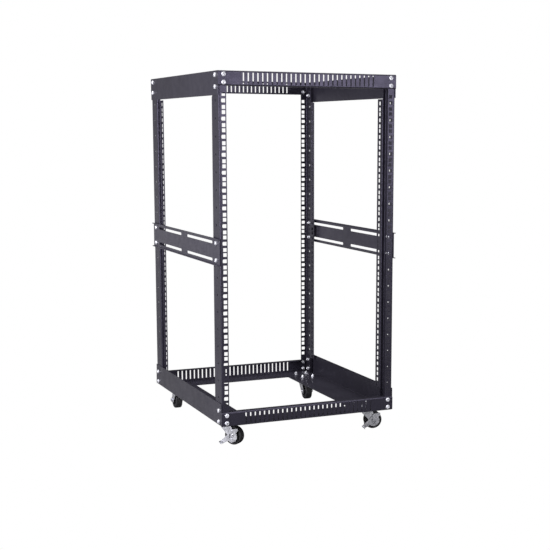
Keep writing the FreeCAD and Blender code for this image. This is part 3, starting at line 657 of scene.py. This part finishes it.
def moulded(name, deep, pale, rough, peel, shift):
    """Moulded rubber or plastic.  A noise of 12 mm dusts or scuffs the colour and varies the gloss, and one
    of 1 mm is the mould's texture."""
    material = bpy.data.materials.new(name)
    material.use_nodes = True
    tree = material.node_tree
    shader = tree.nodes["Principled BSDF"]
    place = shader_node(tree, "TexCoord", {}, {}).outputs["Object"]
    place = shader_node(tree, "Mapping", {}, {"Vector": place, "Location": shift}).outputs["Vector"]
    scuffs = noise_on(tree, place, 85.0, 6.0)
    grain = noise_on(tree, place, 1100.0, 3.0)
    worn = times(tree, edge_amount(tree, 0.0006), 0.5)
    base = blended(tree, spread(tree, scuffs, 0.45, 0.75, 0.0, 1.0), deep, pale)
    tree.links.new(blended(tree, worn, base, pale), shader.inputs["Base Color"])
    tree.links.new(spread(tree, scuffs, 0.3, 0.7, rough, rough + 0.14), shader.inputs["Roughness"])
    bump = shader_node(tree, "Bump", {}, {"Height": grain, "Strength": peel, "Distance": 0.0002})
    tree.links.new(bump.outputs["Normal"], shader.inputs["Normal"])
    return material


def tyre_ring():
    """Tyre about Z.  Across the tread the radius is the wheel's less the crown times w^2, with w from -1 to
    1.  The shoulders are quarter rounds, and the side walls carry a low ring."""
    flat = WHEEL_HALF - SHOULDER
    w = np.linspace(-1, 1, 15)
    parting = np.where(w == 0, PARTING_DEPTH, 0)
    tread = list(zip(WHEEL_RADIUS - TREAD_CROWN * w * w - parting, flat * w))
    turn = np.linspace(0, math.pi / 2, 8)[1:]
    drop = WHEEL_RADIUS - TREAD_CROWN
    shoulder = list(zip(drop - SHOULDER * (1 - np.cos(turn)), flat + SHOULDER * np.sin(turn)))
    sunk = WHEEL_HALF - WALL_DEPTH
    wall = [(WALL_OUTER, WHEEL_HALF), (WALL_OUTER - 0.0003, sunk), (WALL_INNER, sunk),
            (TYRE_INNER, sunk - 0.0003)]
    upper = shoulder + wall
    profile = [(r, -z) for r, z in upper[::-1]] + tread + upper
    return turned_profile(profile + profile[:1], 96)


def hub_centre():
    """Wheel centre about Z, as radius, height and share of a rib.  Between boss and rim each face is raised
    to the ribs' height by 1 / (1 + e^(-14 (cos 6a - 0.75))), which is steep at the ribs' sides."""
    count = 96
    angle = np.arange(count) * 2 * math.pi / count
    rib = 1 / (1 + np.exp(-14 * (np.cos(RIB_COUNT * angle) - 0.75)))
    rim_face = WHEEL_HALF - 0.0010
    boss = [(HUB_BORE, HUB_BOSS_HALF, 0), (HUB_BOSS - HUB_CHAMFER, HUB_BOSS_HALF, 0),
            (HUB_BOSS, HUB_BOSS_HALF - HUB_CHAMFER, 0), (HUB_BOSS + 0.0004, HUB_FACE + 0.001, 0)]
    face = [(HUB_BOSS + 0.0012, HUB_FACE, 1), (0.0105, HUB_FACE, 1), (0.0130, HUB_FACE, 1),
            (TYRE_INNER - 0.0042, HUB_FACE, 1), (TYRE_INNER - 0.0032, HUB_FACE + HUB_CHAMFER, 0.4)]
    rim = [(TYRE_INNER - 0.0028, rim_face - 0.0005, 0), (TYRE_INNER - 0.0024, rim_face, 0),
           (TYRE_INNER - 0.0002, rim_face, 0), (TYRE_INNER, rim_face - 0.0006, 0)]
    profile = boss + face + rim
    profile = profile + [(r, -z, k) for r, z, k in profile[::-1]]
    rows = []
    for r, z, raised in profile + profile[:1]:
        lift = raised * (HUB_RIB - HUB_FACE) * rib * math.copysign(1, z)
        rows.append(np.stack([r * np.cos(angle), r * np.sin(angle), z + lift], axis=-1))
    return [(np.stack(rows), False, True)]


tyre_rubber = moulded("tyre_rubber", TYRE_BLACK, TYRE_DUSTY, 0.48, 0.25, (0.0, 0.0, 0.0))
wheel_plastic = moulded("wheel_plastic", CENTRE_BLACK, CENTRE_SCUFFED, 0.36, 0.15, (5.0, 3.0, 2.0))
for end, side in CORNERS:
    name = "caster_%s_%s_" % (end, side)
    body = "wheel_%s_%s" % (end, side)
    centre, axes = caster_axes(end, side)
    axle = centre + axes[0] * TRAIL + [0, 0, WHEEL_RADIUS]
    wheel_axes = np.array([axes[2], axes[0], axes[1]])
    ring, spokes = set_at(tyre_ring(), wheel_axes, axle), set_at(hub_centre(), wheel_axes, axle)
    tyre = new_piece(name + "moulded_tyre", ring, tyre_rubber, body, 30)
    hub = new_piece(name + "ribbed_hub", spokes, wheel_plastic, body, 30)
    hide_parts(name + "tyre")
    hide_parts(name + "hub")


# Brake levers of the front casters.  Stamped 1.5 mm plates on a rivet, with a window round the axle's head,
# a tread for the foot and a shoe over the tyre, all zinc plated.
lever_zinc = zinc_plating("lever_zinc", CASTER_DULL, 0.9, (6.0, 4.0, 3.0))
dress(["caster_front_%s_brake_lever" % side for side in SIDES], lever_zinc)


# Studio.  A pale floor under a broad soft top light.  A panel at the front left lights the left sides, a
# weak one behind gives them a sheen, and two at the front and right fill in.
# The camera stands at the front left, a little under the top of the frame.
FLOOR_PALE = (0.25, 0.25, 0.25, 1.0)
FLOOR_HALF = 12.0
PANEL_COLOUR = (0.96, 0.94, 1.0)
WORLD_LIGHT = 0.03           # the world as a light; the camera sees it white
TOP_STRENGTH = 3.3
TOP_SPREAD = 70              # degrees

floor_mesh = bpy.data.meshes.new("floor")
floor_corners = FLOOR_HALF * np.array([(-1, -1, 0), (1, -1, 0), (1, 1, 0), (-1, 1, 0)])
floor_mesh.from_pydata(floor_corners.tolist(), [], [(0, 1, 2, 3)])
floor = bpy.data.objects.new("floor", floor_mesh)
bpy.context.collection.objects.link(floor)
floor_paint = bpy.data.materials.new("floor_paint")
floor_paint.use_nodes = True
tree = floor_paint.node_tree
paint = tree.nodes["Principled BSDF"]
paint.inputs["Base Color"].default_value = FLOOR_PALE
paint.inputs["Roughness"].default_value = 0.9
paint.inputs["Specular IOR Level"].default_value = 0.0
seen = shader_node(tree, "LightPath", {}, {}).outputs["Is Camera Ray"]
glow = shader_node(tree, "Emission", {}, {"Strength": 1.0}).outputs["Emission"]
mixed = shader_node(tree, "MixShader", {}, {0: seen, 1: paint.outputs["BSDF"], 2: glow}).outputs["Shader"]
tree.links.new(mixed, tree.nodes["Material Output"].inputs["Surface"])
floor_mesh.materials.append(floor_paint)

world = bpy.data.worlds.new("studio")
bpy.context.scene.world = world
world.use_nodes = True
tree = world.node_tree
background = tree.nodes["Background"]
seen = shader_node(tree, "LightPath", {}, {}).outputs["Is Camera Ray"]
tree.links.new(spread(tree, seen, 0.0, 1.0, WORLD_LIGHT, 1.0), background.inputs["Strength"])
background.inputs["Color"].default_value = (1.0, 1.0, 1.0, 1.0)


def soft_panel(name, place, target, size, power):
    """Rectangular soft light at a place, turned towards a target and not seen itself."""
    lamp = bpy.data.lights.new(name, "AREA")
    lamp.shape = "RECTANGLE"
    lamp.size, lamp.size_y = size
    lamp.energy = power
    lamp.color = PANEL_COLOUR
    light = bpy.data.objects.new(name, lamp)
    bpy.context.collection.objects.link(light)
    ahead = np.array(target, float) - place
    axes = facing(-ahead / np.linalg.norm(ahead), 0)
    matrix = np.eye(4)
    matrix[:3, :3] = axes.T
    matrix[:3, 3] = place
    light.matrix_world = Matrix(matrix)
    light.visible_camera = False


top = bpy.data.lights.new("top_light", "SUN")
top.angle = math.radians(TOP_SPREAD)
top.energy = TOP_STRENGTH
top_light = bpy.data.objects.new("top_light", top)
bpy.context.collection.objects.link(top_light)
soft_panel("left_panel", (-1.8, -0.7, 1.1), (-0.2, 0.0, 0.7), (1.0, 1.6), 66.0)
soft_panel("front_panel", (1.0, -2.6, 0.95), (0, 0, 0.8), (1.6, 0.7), 25.0)
soft_panel("right_panel", (2.6, -1.0, 1.2), (0, 0, 0.5), (1.6, 1.6), 5.0)
soft_panel("back_panel", (-1.7, 3.2, 0.7), (0, 0, 0.5), (2.2, 1.4), 3.2)

CAMERA_PLACE = (-1.22365, -3.10985, 0.81941)
CAMERA_YAW, CAMERA_PITCH, CAMERA_ROLL = 0.43063, 0.15444, -0.0039
CAMERA_LENS = 77.3961        # on a sensor 36 mm wide
CAMERA_SHIFT = (-0.106782, 0.074527)

camera_data = bpy.data.cameras.new("camera")
camera_data.sensor_width = 36.0
camera_data.lens = CAMERA_LENS
camera_data.shift_x, camera_data.shift_y = CAMERA_SHIFT
camera_data.clip_start = 0.05
camera_data.clip_end = 60.0
camera = bpy.data.objects.new("camera", camera_data)
bpy.context.collection.objects.link(camera)
cy, sy = math.cos(CAMERA_YAW), math.sin(CAMERA_YAW)
cp, sp = math.cos(CAMERA_PITCH), math.sin(CAMERA_PITCH)
ahead = np.array([sy * cp, cy * cp, -sp])
right = np.array([cy, -sy, 0.0])
down = np.cross(ahead, right)
cr, sr = math.cos(CAMERA_ROLL), math.sin(CAMERA_ROLL)
axis_x = right * cr + down * sr
axis_y = -(down * cr - right * sr)
matrix = np.eye(4)
matrix[:3, :3] = np.stack([axis_x, axis_y, -ahead], axis=-1)
matrix[:3, 3] = CAMERA_PLACE
camera.matrix_world = Matrix(matrix)
bpy.context.scene.camera = camera
bpy.context.scene.view_settings.view_transform = "Standard"
